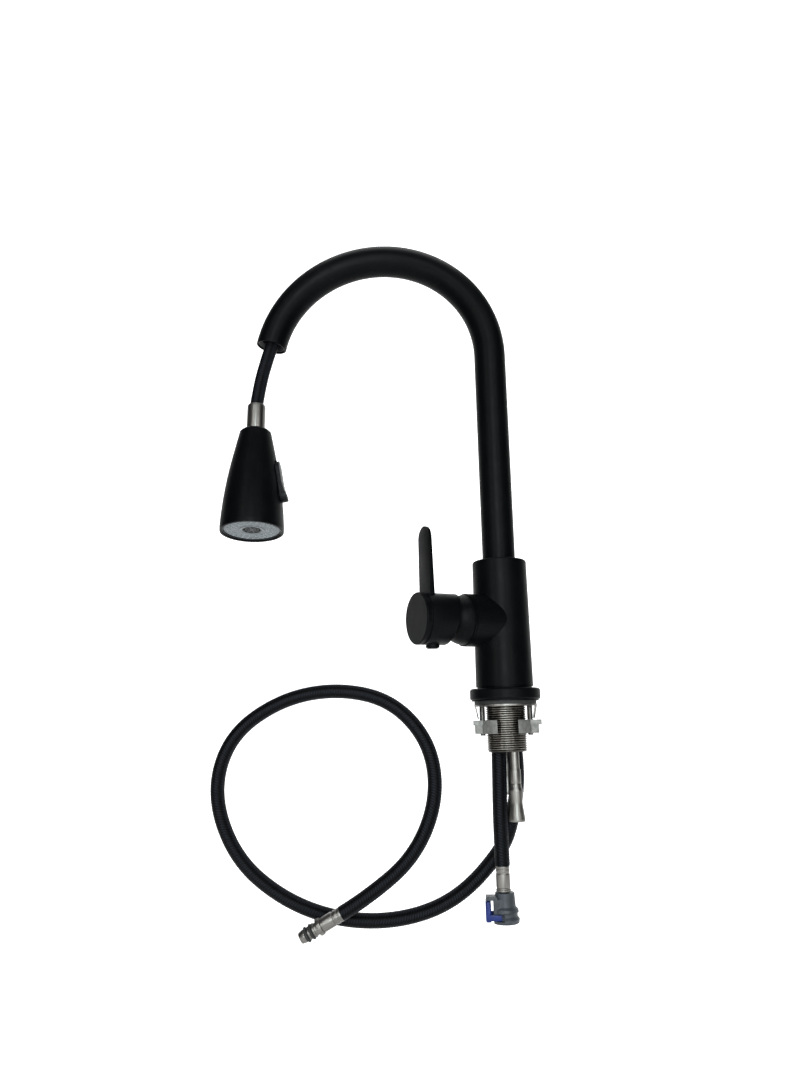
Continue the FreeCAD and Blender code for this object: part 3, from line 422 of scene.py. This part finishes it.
MATERIALS = {
    "black_paint": plain_look("black_paint", (0.0007, 0.0009, 0.0011), (0.0012, 0.0015, 0.0018), (0.36, 0.44),
                              specular=0.040, cloud=35.0, grain=2400.0, depth=0.012),
    "black_rubber": plain_look("black_rubber", (0.006, 0.006, 0.006), (0.011, 0.011, 0.011), (0.6, 0.75),
                               specular=0.3, cloud=180.0, grain=1800.0, depth=0.04),
    # the nickel thread carries painted shade in its thread roots
    "nickel_thread": brushed_look("nickel_thread", (0.16, 0.148, 0.132), (0.28, 0.262, 0.236), (0.27, 0.40),
                                  (500, 500, 60), depth=0.02, root=(0.0157, 0.0165)),
    "zinc_cast": plain_look("zinc_cast", (0.10, 0.10, 0.095), (0.165, 0.165, 0.155), (0.5, 0.68), metal=0.65,
                            cloud=240.0, grain=1300.0, depth=0.09),
    "bright_steel": brushed_look("bright_steel", (0.095, 0.091, 0.085), (0.175, 0.168, 0.156), (0.30, 0.44),
                                 (1100, 1100, 30), depth=0.02),
    "brass": brushed_look("brass", (0.52, 0.38, 0.16), (0.70, 0.53, 0.26), (0.25, 0.4), (400, 400, 60)),
    "white_plastic": plain_look("white_plastic", (0.66, 0.66, 0.63), (0.78, 0.78, 0.75), (0.4, 0.55)),
    "ceramic": plain_look("ceramic", (0.72, 0.71, 0.66), (0.82, 0.81, 0.77), (0.12, 0.2), grain=900.0),
    "black_plastic": plain_look("black_plastic", (0.006, 0.0065, 0.007), (0.011, 0.012, 0.013), (0.42, 0.55),
                                specular=0.35, cloud=120.0, grain=1900.0, depth=0.03),
    "grey_plastic": plain_look("grey_plastic", (0.080, 0.092, 0.098), (0.115, 0.130, 0.138), (0.42, 0.56),
                               specular=0.35, cloud=140.0, grain=1700.0, depth=0.03),
    "grey_rubber": plain_look("grey_rubber", (0.15, 0.168, 0.176), (0.20, 0.220, 0.228), (0.5, 0.62),
                              specular=0.35, cloud=200.0, grain=1700.0, depth=0.03),
    "slate_plastic": plain_look("slate_plastic", (0.016, 0.0195, 0.0235), (0.026, 0.031, 0.037), (0.4, 0.52),
                                specular=0.25, cloud=140.0, grain=1700.0, depth=0.03),
    "blue_plastic": plain_look("blue_plastic", (0.0010, 0.0070, 0.055), (0.0018, 0.0125, 0.100), (0.32, 0.45),
                               specular=0.2, cloud=160.0, grain=1700.0, depth=0.02),
    "braid": woven_look("braid"),
}
# painted light: the strands of one hand get a crown colour ten times brighter than those of the other, a
# painted difference in how they catch the light
BRAIDS = {-1: braid_look("strand_left", (0.012, 0.0138, 0.0185)),
          1: braid_look("strand_right", (0.0012, 0.0014, 0.0019))}
ROCKER = plain_look("rocker", (0.0018, 0.0021, 0.0024), (0.003, 0.0034, 0.0038), (0.36, 0.46), specular=0.10,
                    cloud=150.0, grain=1900.0, depth=0.025)

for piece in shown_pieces():
    for i, slot in enumerate(piece.material_slots):
        piece.data.materials[i] = MATERIALS[slot.material.name]


# ---- pieces -------------------------------------------------------------------------------
def add_piece(name, mesh, body, slot, node=None, place=None, look=None):
    """A piece on a body, with a slot's finish or its own, in place of a node if one is given."""
    piece = bpy.data.objects.new(name, mesh)
    if place is not None:
        piece.matrix_world = place
    bpy.context.scene.collection.objects.link(piece)
    mesh.materials.clear()
    mesh.materials.append(look or MATERIALS[slot])
    if body:
        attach(piece, body)
    if node:
        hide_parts(node)
    return piece


def eased(node, name, body, slot, width, sharp=30.0, look=None):
    """A node's own form with its hard edges rounded over by a small width in millimetres."""
    made = bmesh.new()
    source = bpy.data.objects[node]
    made.from_mesh(source.data)
    made.transform(source.matrix_world)
    bmesh.ops.remove_doubles(made, verts=made.verts, dist=2e-6)
    bmesh.ops.dissolve_limit(made, angle_limit=math.radians(0.6), verts=made.verts, edges=made.edges)
    hard = [e for e in made.edges if len(e.link_faces) == 2 and e.calc_face_angle(0) > math.radians(sharp)]
    bmesh.ops.bevel(made, geom=hard, offset=width * MM, offset_type="OFFSET", segments=3, profile=0.5,
                    affect="EDGES", clamp_overlap=True)
    return add_piece(name, finish_mesh(made, name, 24.0), body, slot, node, look=look)


def carved(mesh, cutter):
    """A mesh with another taken out of it."""
    pair = [bpy.data.objects.new("carving", m) for m in (mesh, cutter)]
    for made in pair:
        bpy.context.scene.collection.objects.link(made)
    cut = pair[0].modifiers.new("cut", "BOOLEAN")
    cut.object = pair[1]
    cut.solver = "EXACT"
    result = bpy.data.meshes.new_from_object(pair[0].evaluated_get(bpy.context.evaluated_depsgraph_get()))
    for made in pair:
        bpy.data.objects.remove(made)
    result.set_sharp_from_angle(angle=math.radians(35))
    return result


def block(name, sizes, centre=(0, 0, 0)):
    """A box of three sizes in millimetres round a centre, used for cutting."""
    made = bmesh.new()
    bmesh.ops.create_cube(made, size=1.0)
    bmesh.ops.scale(made, vec=[s * MM for s in sizes], verts=made.verts)
    bmesh.ops.translate(made, vec=[c * MM for c in centre], verts=made.verts)
    mesh = bpy.data.meshes.new(name)
    made.to_mesh(mesh)
    made.free()
    return mesh


def upright(x, y, z=0.0):
    """The place of a piece that stands upright at a point in millimetres."""
    return Matrix.Translation((x * MM, y * MM, z * MM))


# the spout: one smooth drawn tube with rounded rims
TUBE_R = 14.0
TUBE_WALL = 1.4
TUBE_EASING = 0.45
SPOUT_FOOT = 95.0
ARC_START = 312.0
ARC_R = 102.5
ARC_TURN = 168.0


def spout_mesh():
    angles = np.radians(np.linspace(0, ARC_TURN, 113))
    centres = [(0, 0, z) for z in np.linspace(SPOUT_FOOT, ARC_START, 12)[:-1]]
    lean = [0.0] * len(centres) + list(angles)
    centres += [(ARC_R * math.cos(a) - ARC_R, 0, ARC_START + ARC_R * math.sin(a)) for a in angles]
    centres = np.array(centres)
    along = np.array([(-math.sin(a), 0, math.cos(a)) for a in lean])
    outward = np.array([(math.cos(a), 0, math.sin(a)) for a in lean])
    spin = np.linspace(0, 2 * math.pi, 72, endpoint=False)
    inner = TUBE_R - TUBE_WALL
    easing = TUBE_EASING

    def loop(station, radius, ahead=0.0):
        rings = outward[station] * np.cos(spin)[:, None] + np.array([0, 1.0, 0]) * np.sin(spin)[:, None]
        return centres[station] + along[station] * ahead + rings * radius

    rows = [loop(k, TUBE_R) for k in range(len(centres) - 1)]
    for t in np.linspace(0, math.pi / 2, 5):
        rows.append(loop(-1, TUBE_R - easing + easing * math.cos(t), easing * (math.sin(t) - 1)))
    for t in np.linspace(math.pi / 2, 0, 5):
        rows.append(loop(-1, inner + easing - easing * math.cos(t), easing * (math.sin(t) - 1)))
    rows += [loop(k, inner) for k in range(len(centres) - 2, -1, -1)]
    rows.append(rows[0])
    mesh = grid_mesh("spout_tube_look", np.array(rows) * MM, True, False)
    made = bmesh.new()
    made.from_mesh(mesh)
    bmesh.ops.remove_doubles(made, verts=made.verts, dist=1e-6)
    return finish_mesh(made, "spout_tube_look", 40.0)


add_piece("spout_tube_look", spout_mesh(), "spout", "black_paint", "spout_tube")


# the shank and its two clamp screws, with their real helical threads
THREAD_PITCH = 1.8
CREST_R = 16.6
ROOT_R = 15.6
SHANK_BORE_R = 14.4
SHANK_FOOT = -38.0
SHANK_SHOULDER = 2.9
SHANK_TOP = 18.5
SCREW_FOOT = -25.0
SCREW_TOP = -1.4
SCREW_CIRCLE_R = 19.8
SCREW_ANGLE = math.radians(10)


def thread_shift(root, crest, pitch, low, high, deep):
    """Moves a turned surface into a helical thread between two heights, fading at both ends."""
    def shift(radius, height, angle):
        if radius < deep or not low < height < high:
            return radius, height
        turn = (height / pitch - angle / (2 * math.pi)) % 1.0
        tooth = min(1.0, max(0.0, 1.55 - abs(turn - 0.5) * 4.4))
        fade = min(1.0, (height - low) / pitch, (high - height) / pitch)
        return root + (crest - root) * tooth * fade, height
    return shift


def shank_mesh():
    """A threaded tube under a plain neck and a collar."""
    rows = [(CREST_R - 0.05, -37.4 + 0.2 * k) for k in range(201)]
    outline = [(SHANK_BORE_R, SHANK_FOOT, 0.5), (ROOT_R, SHANK_FOOT, 0.4)] + rows
    outline += [(CREST_R, SHANK_SHOULDER, 0), (CREST_R, 14.5), (19.8, 14.5), (19.8, SHANK_TOP),
                (SHANK_BORE_R, SHANK_TOP)]
    thread = thread_shift(ROOT_R, CREST_R, THREAD_PITCH, SHANK_FOOT + 0.1, SHANK_SHOULDER - 0.05, 15.8)
    return lathe("shank_look", outline, 120, 0.2, 50.0, thread)


def screw_mesh(foot, top):
    """A headless clamp screw with a slot in its foot."""
    count = int((top - foot - 0.8) / 0.1)
    rows = [(2.48, foot + 0.4 + 0.1 * k) for k in range(count)]
    outline = [(0, foot), (2.1, foot, 0.2)] + rows + [(2.1, top, 0.2), (0, top)]
    solid = lathe("screw", outline, 28, 0.1, 55.0, thread_shift(2.06, 2.5, 0.8, foot + 0.3, top - 0.5, 2.2))
    return carved(solid, block("screw_slot", (7.0, 0.9, 2.2), (0, 0, foot)))


add_piece("shank_look", shank_mesh(), "faucet_body", "nickel_thread", "threaded_shank")
screw_y = -SCREW_CIRCLE_R * math.sin(SCREW_ANGLE)
screw_x = SCREW_CIRCLE_R * math.cos(SCREW_ANGLE)
for k, x in enumerate((-screw_x, screw_x)):
    add_piece("clamp_screw_%d" % k, screw_mesh(SCREW_FOOT, SCREW_TOP), "deck_clamp", "bright_steel",
              "clamp_screws", upright(x, screw_y))

# the nut that turns on the ball at the hose's end
NUT_ABOVE_BALL = 5.2
nut_outline = [(4.3, 0.6, 0.6), (8.3, 0, 2.6), (8.3, 3.4, 0), (8.3, 25.5, 0.35), (8.0, 25.8, 0),
               (8.0, 26.7, 0.3), (6.4, 26.7, 0.3), (6.4, 21.1), (4.25, 21.1)]
add_piece("hose_nut_look", lathe("hose_nut_look", nut_outline, 96, 0.2), "hose_nut", "bright_steel",
          "hose_nut", frame_at(BALL - HEAD * NUT_ABOVE_BALL * MM, HEAD, BUTTON_OUT))


# the two inlet fittings: a flared foot, a waist and a crimped sleeve over the pipe
def fitting_outline(sleeve):
    return [(3.9, sleeve), (4.5, sleeve, 0.25), (4.6, 30.2, 0.2), (4.4, 29.8, 0.2), (4.4, 29.0, 0.2),
            (4.65, 28.6, 0.2), (4.7, 26.5, 0.6), (5.6, 24.0, 1.5), (5.0, 14.0, 12.0), (6.6, 2.0, 1.5),
            (6.6, 0, 0.5), (4.3, 0, 0.5), (4.3, 12.0), (2.9, 12.0), (2.9, 25.0), (3.9, 25.0)]


for name, x, y, end, sleeve in (("cold", 4.9, -9.0, -92.0, 40.5), ("hot", -1.2, 10.3, -72.5, 31.5)):
    fitting = lathe(name + "_fitting_look", fitting_outline(sleeve), 72, 0.2)
    add_piece(name + "_fitting_look", fitting, "faucet_body", "bright_steel", name + "_inlet_fitting",
              upright(x, y, end))


# the spray face: each soft nozzle is a small cone with its own outlet
NOZZLE_RINGS = ((14.4, 16), (17.9, 22), (21.2, 28))
RIDGE_RINGS = (12.6, 16.15, 19.6, 22.9)
RIDGE_HALF = 0.28
RIDGE_FOOT = 94.9
RIDGE_TOP = 95.42


def nozzle_mat_mesh():
    made = bmesh.new()
    mat = lathe("mat", [(11.8, 88.4), (24.6, 88.4), (24.6, 90.6), (11.8, 90.6)], 96, 0.1)
    tip_outline = [(0.98, 89.8, 0), (0.98, 95.2, 0), (0.9, 95.7, 0.25), (0.72, 95.95, 0.15),
                   (0.4, 95.95, 0.12), (0.34, 94.6, 0), (0, 94.5, 0), (0, 89.8, 0)]
    tip = lathe("tip", tip_outline, 16, 0.05, 40.0)
    made.from_mesh(mat)
    for radius, count in NOZZLE_RINGS:
        for k in range(count):
            angle = 2 * math.pi * k / count
            copy = tip.copy()
            copy.transform(upright(radius * math.cos(angle), radius * math.sin(angle)))
            made.from_mesh(copy)
    return finish_mesh(made, "nozzle_mat_look", 40.0)


head_place = frame_at(HEAD_TOP, HEAD, BUTTON_OUT)
add_piece("nozzle_mat_look", nozzle_mat_mesh(), "spray_head", "grey_rubber", "nozzle_mat", head_place)
for k, radius in enumerate(RIDGE_RINGS):
    outline = [(radius - RIDGE_HALF, RIDGE_FOOT, 0), (radius + RIDGE_HALF, RIDGE_FOOT, 0),
               (radius + RIDGE_HALF * 0.8, RIDGE_TOP, 0.15), (radius - RIDGE_HALF * 0.8, RIDGE_TOP, 0.15)]
    ridge = lathe("face_ridge_%d" % k, outline, 120, 0.1)
    add_piece("face_ridge_%d" % k, ridge, "spray_head", "grey_plastic", place=head_place)

rim = [(8.6, 78.0), (11.4, 78.0), (11.4, 95.2, 0.4), (10.9, 95.9, 0.4), (10.2, 95.9, 0.3),
       (9.9, 95.5, 0.2), (8.6, 95.4, 0.2)]
add_piece("aerator_rim_look", lathe("aerator_rim_look", rim, 96, 0.1), "spray_head", "grey_plastic",
          "aerator_housing", head_place)

# the rocker and the small grip ribs near its lower end
ROCKER_DOWN = 51.0
ROCKER_R = 24.0
ROCKER_LEAN = math.radians(9.5)
RIB_START = 12.2
RIB_STEP = 1.75
RIB_EASING = 0.28
eased("rocker_button", "rocker_button_look", "rocker", "black_paint", 0.45, look=ROCKER)
rocker_middle = HEAD_TOP + (HEAD * ROCKER_DOWN + BUTTON_OUT * ROCKER_R) * MM
rocker_out = BUTTON_OUT * math.cos(ROCKER_LEAN) - HEAD * math.sin(ROCKER_LEAN)
rocker_along = HEAD * math.cos(ROCKER_LEAN) + BUTTON_OUT * math.sin(ROCKER_LEAN)
for k in range(4):
    reach = RIB_START + RIB_STEP * k
    half = math.sqrt(max(0.5, 6.3 ** 2 - max(0.0, reach - 13.5) ** 2)) - 1.1
    made = bmesh.new()
    bmesh.ops.create_cube(made, size=1.0)
    bmesh.ops.scale(made, vec=(0.7 * MM, 2 * half * MM, 1.1 * MM), verts=made.verts)
    bmesh.ops.bevel(made, geom=made.edges[:], offset=RIB_EASING * MM, segments=3, profile=0.5,
                    affect="EDGES")
    centre = rocker_middle + (rocker_along * reach + rocker_out * (2.2 + 0.12 * (reach - 1.0))) * MM
    add_piece("rocker_rib_%d" % k, finish_mesh(made, "rocker_rib_%d" % k), "rocker", "black_paint",
              place=frame_at(centre, rocker_out, rocker_along), look=ROCKER)

# cast, pressed and moulded pieces with their edges eased
eased("horseshoe_nut", "horseshoe_nut_look", "deck_clamp", "zinc_cast", 0.5)
eased("deck_washer", "deck_washer_look", "deck_clamp", "bright_steel", 0.18)
eased("handle_lever", "handle_lever_look", "handle", "black_paint", 0.45)

# ---- cords --------------------------------------------------------------------------------
PULL_POINTS = [(0.0066, 0.0032, -0.038), (0.008, 0.004, -0.060), (0.002, 0.011, -0.092),
               (-0.007, 0.017, -0.117), (-0.044, 0.019, -0.155), (-0.090, 0.019, -0.172),
               (-0.143, 0.019, -0.172), (-0.192, 0.019, -0.155), (-0.233, 0.019, -0.122),
               (-0.253, 0.018, -0.070), (-0.239, 0.016, -0.022), (-0.195, 0.014, 0.008),
               (-0.145, 0.012, 0.017), (-0.096, 0.011, 0.006), (-0.064, 0.010, -0.030),
               (-0.059, 0.008, -0.076), (-0.079, 0.006, -0.121), (-0.119, 0.0035, -0.152),
               (-0.139, 0.002, -0.163)]
OUTLET_POINTS = [(-0.0072, -0.0014, -0.0380), (-0.0075, -0.0013, -0.0550), (-0.00825, -0.0008, -0.0812),
                 (-0.00825, -0.0001, -0.1074), (-0.00815, 0.0005, -0.1264)]
DROP_POINTS = [(-0.1912676, 0.0, 0.36325), (-0.1992, 0.0, 0.3445), (-0.2074, 0.0012, 0.3210),
               (-0.2138, 0.0028, 0.2980), (-0.2160798, 0.0007019, 0.2771626)]
FERRULE_FOOT = Vector((-0.00806, 0.0012, -0.1459))


def route(name, points, radius):
    """A hose's core as a smooth curve through its route."""
    data = bpy.data.curves.new(name, "CURVE")
    data.dimensions = "3D"
    data.resolution_u = 24
    data.bevel_depth = radius
    data.bevel_resolution = 6
    data.use_fill_caps = True
    spline = data.splines.new("NURBS")
    spline.points.add(len(points) - 1)
    for point, place in zip(spline.points, points):
        point.co = (*place, 1)
    spline.order_u = 3
    spline.use_endpoint_u = True
    piece = bpy.data.objects.new(name, data)
    bpy.context.scene.collection.objects.link(piece)
    return piece


def centreline(piece):
    """The points of a curve's own line, in order."""
    bare = piece.data.copy()
    bare.bevel_depth = 0
    bare.use_fill_caps = False
    holder = bpy.data.objects.new("line", bare)
    bpy.context.scene.collection.objects.link(holder)
    mesh = bpy.data.meshes.new_from_object(holder.evaluated_get(bpy.context.evaluated_depsgraph_get()))
    line = [tuple(v.co) for v in mesh.vertices]
    bpy.data.objects.remove(holder)
    return line


def braids(name, line, yarns, body):
    """The two sets of strands round a hose, one for each hand of turning."""
    pair = []
    for word, hand in (("left", -1), ("right", 1)):
        mesh = braid_mesh("%s_braid_%s" % (name, word), line, yarns, hand)
        pair.append(add_piece(mesh.name, mesh, body, "braid", look=BRAIDS[hand]))
    return pair


def core(piece, body, node):
    """Puts a hose's rubber core on its body, in place of its node."""
    piece.data.materials.append(MATERIALS["black_rubber"])
    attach(piece, body)
    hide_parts(node)
    return piece


# the outlet hose, its crimped ferrule and the quick connector
outlet = core(route("outlet_hose_look", OUTLET_POINTS, CORE_R), "faucet_body", "outlet_hose")
outlet_line = centreline(outlet)
outlet_end = Vector(OUTLET_POINTS[-1])
ferrule_length = (FERRULE_FOOT - outlet_end).length / MM
crimped = [(0, 0), (5.5, 0, 0.4), (5.55, 1.6, 0.1), (5.3, 1.9, 0.1), (5.3, 2.5, 0.1), (5.55, 2.8, 0.1),
           (5.5, 4.6, 0.2), (5.2, 5.0, 0.2), (5.2, 5.8, 0.2), (5.6, 6.4, 0.3), (5.7, 16.4, 0.3),
           (5.4, 16.8, 0.2), (5.4, 17.6, 0.2), (5.9, 18.0, 0.2), (5.9, ferrule_length, 0.3),
           (0, ferrule_length)]
ferrule = add_piece("outlet_ferrule_look", lathe("outlet_ferrule_look", crimped, 72, 0.2), "faucet_body",
                    "bright_steel", "outlet_ferrule", frame_at(outlet_end, FERRULE_FOOT - outlet_end))
housing = eased("connector_housing", "connector_housing_look", "faucet_body", "slate_plastic", 0.3)
clip = eased("connector_clip", "connector_clip_look", "release_clip", "blue_plastic", 0.45)
(braids("outlet", outlet_line, 3, "faucet_body")
        + [ferrule, housing, clip, bpy.data.objects["connector_barb"], bpy.data.objects["connector_seal"]])

# the long pull-out hose and its plug
pull = core(route("pullout_hose_look", PULL_POINTS, CORE_R), "faucet_body", "pullout_hose")
pull_line = centreline(pull)
plug_start = Vector(PULL_POINTS[-1])
plug_place = frame_at(plug_start, plug_start - Vector(PULL_POINTS[-2]))
sleeve_outline = [(0, 0), (5.7, 0, 0.4), (5.75, 2.0, 0.1), (5.45, 2.3, 0.1), (5.45, 2.9, 0.1),
                  (5.75, 3.2, 0.1), (5.7, 5.6, 0.2), (5.3, 6.0, 0.2), (5.3, 7.0, 0.2), (5.9, 7.4, 0.3),
                  (5.9, 18.0, 0.2), (0, 18.0)]
plug_outline = [(0, 18.0), (6.9, 18.0, 0.4), (6.9, 21.4, 0.4), (5.0, 21.4, 0.2), (5.0, 24.0, 0.2),
                (5.7, 24.0, 0.25), (5.7, 25.6, 0.25), (4.2, 25.6), (4.2, 28.4), (5.2, 28.4, 0.25),
                (5.2, 30.0, 0.25), (4.2, 30.0), (4.2, 32.8), (5.2, 32.8, 0.25), (5.2, 34.0, 0.6),
                (4.4, 37.6, 0.4), (2.4, 37.6, 0.3), (2.4, 22.0, 0), (0, 22.0, 0)]
plug = [add_piece("plug_ferrule_look", lathe("plug_ferrule_look", sleeve_outline, 72, 0.2), "faucet_body",
                  "bright_steel", "plug_ferrule", plug_place),
        add_piece("plug_body_look", lathe("plug_body_look", plug_outline, 72, 0.15), "faucet_body",
                  "bright_steel", "plug_body", plug_place)]
braids("pullout", pull_line, 2, "faucet_body") + plug + [bpy.data.objects["plug_seals"]]

# the hose between the spout and the spray head, baked in place on no body
guide = route("drop_guide", DROP_POINTS, 0)
drop_line = centreline(guide)
bpy.data.objects.remove(guide)
drop_mesh = tube_mesh("spray_hose_look", resampled(drop_line, 1.5 * MM), CORE_R)
drop = add_piece("spray_hose_look", drop_mesh, None, "braid", "spray_hose_drop",
                 look=MATERIALS["black_rubber"])
drop_braids = braids("spray", drop_line, 3, None)
for piece in [drop] + drop_braids:
    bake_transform(piece)


# ---- studio -------------------------------------------------------------------------------
def backdrop_mesh():
    """A sheet of paper that runs from the floor up behind the object in one bend."""
    floor = -0.19
    back = 1.9
    bend = 0.7
    profile = [(-3.5, floor), (back - bend, floor)]
    for t in np.linspace(0.1, math.pi / 2, 14):
        profile.append((back - bend + bend * math.sin(t), floor + bend - bend * math.cos(t)))
    profile.append((back, 3.2))
    points = np.array([[(x, y, z) for x in (-3.5, 3.5)] for y, z in profile])
    return grid_mesh("backdrop", points, False, False)


backdrop = bpy.data.objects.new("backdrop", backdrop_mesh())
bpy.context.scene.collection.objects.link(backdrop)
paper = Look("paper")
paper_tone = paper.tone(paper.noise(3.0), (0.3, (0.88, 0.88, 0.88)), (0.7, (0.92, 0.92, 0.92)))
paper.shader.inputs["Emission Color"].default_value = (1, 1, 1, 1)
paper.shader.inputs["Emission Strength"].default_value = 0.8
backdrop.data.materials.append(paper.wear(Base_Color=paper_tone, Roughness=0.9))

# dark flags either side, out of view, which keep the edges of the black and steel parts dark
flag_look = plain_look("flag", (0.008, 0.008, 0.008), (0.012, 0.012, 0.012), (0.8, 0.9), specular=0.1)
for name, x in (("flag_left", -0.95), ("flag_right", 0.85)):
    points = np.array([[(x, y, z) for y in (-1.9, 0.35)] for z in (-0.185, 1.5)])
    flag = bpy.data.objects.new(name, grid_mesh(name, points, False, False))
    bpy.context.scene.collection.objects.link(flag)
    flag.data.materials.append(flag_look)

world = bpy.data.worlds.new("studio")
world.use_nodes = True
world.node_tree.nodes["Background"].inputs["Color"].default_value = (0.96, 0.98, 1.0, 1)
world.node_tree.nodes["Background"].inputs["Strength"].default_value = 0.22
bpy.context.scene.world = world
bpy.context.scene.view_settings.view_transform = "Standard"

area_light("front", (0.05, -1.9, 0.25), (-0.08, 0, 0.15), (0.42, 1.9), 50, (0.88, 0.97, 1.0))
area_light("left", (-0.62, -1.0, 0.3), (-0.1, 0, 0.1), (0.12, 1.5), 7)
area_light("right", (0.56, -1.0, 0.3), (-0.05, 0, 0.1), (0.10, 1.5), 7)
area_light("top", (-0.1, 0.2, 1.9), (-0.1, 0.1, 0), (1.2, 1.2), 16)
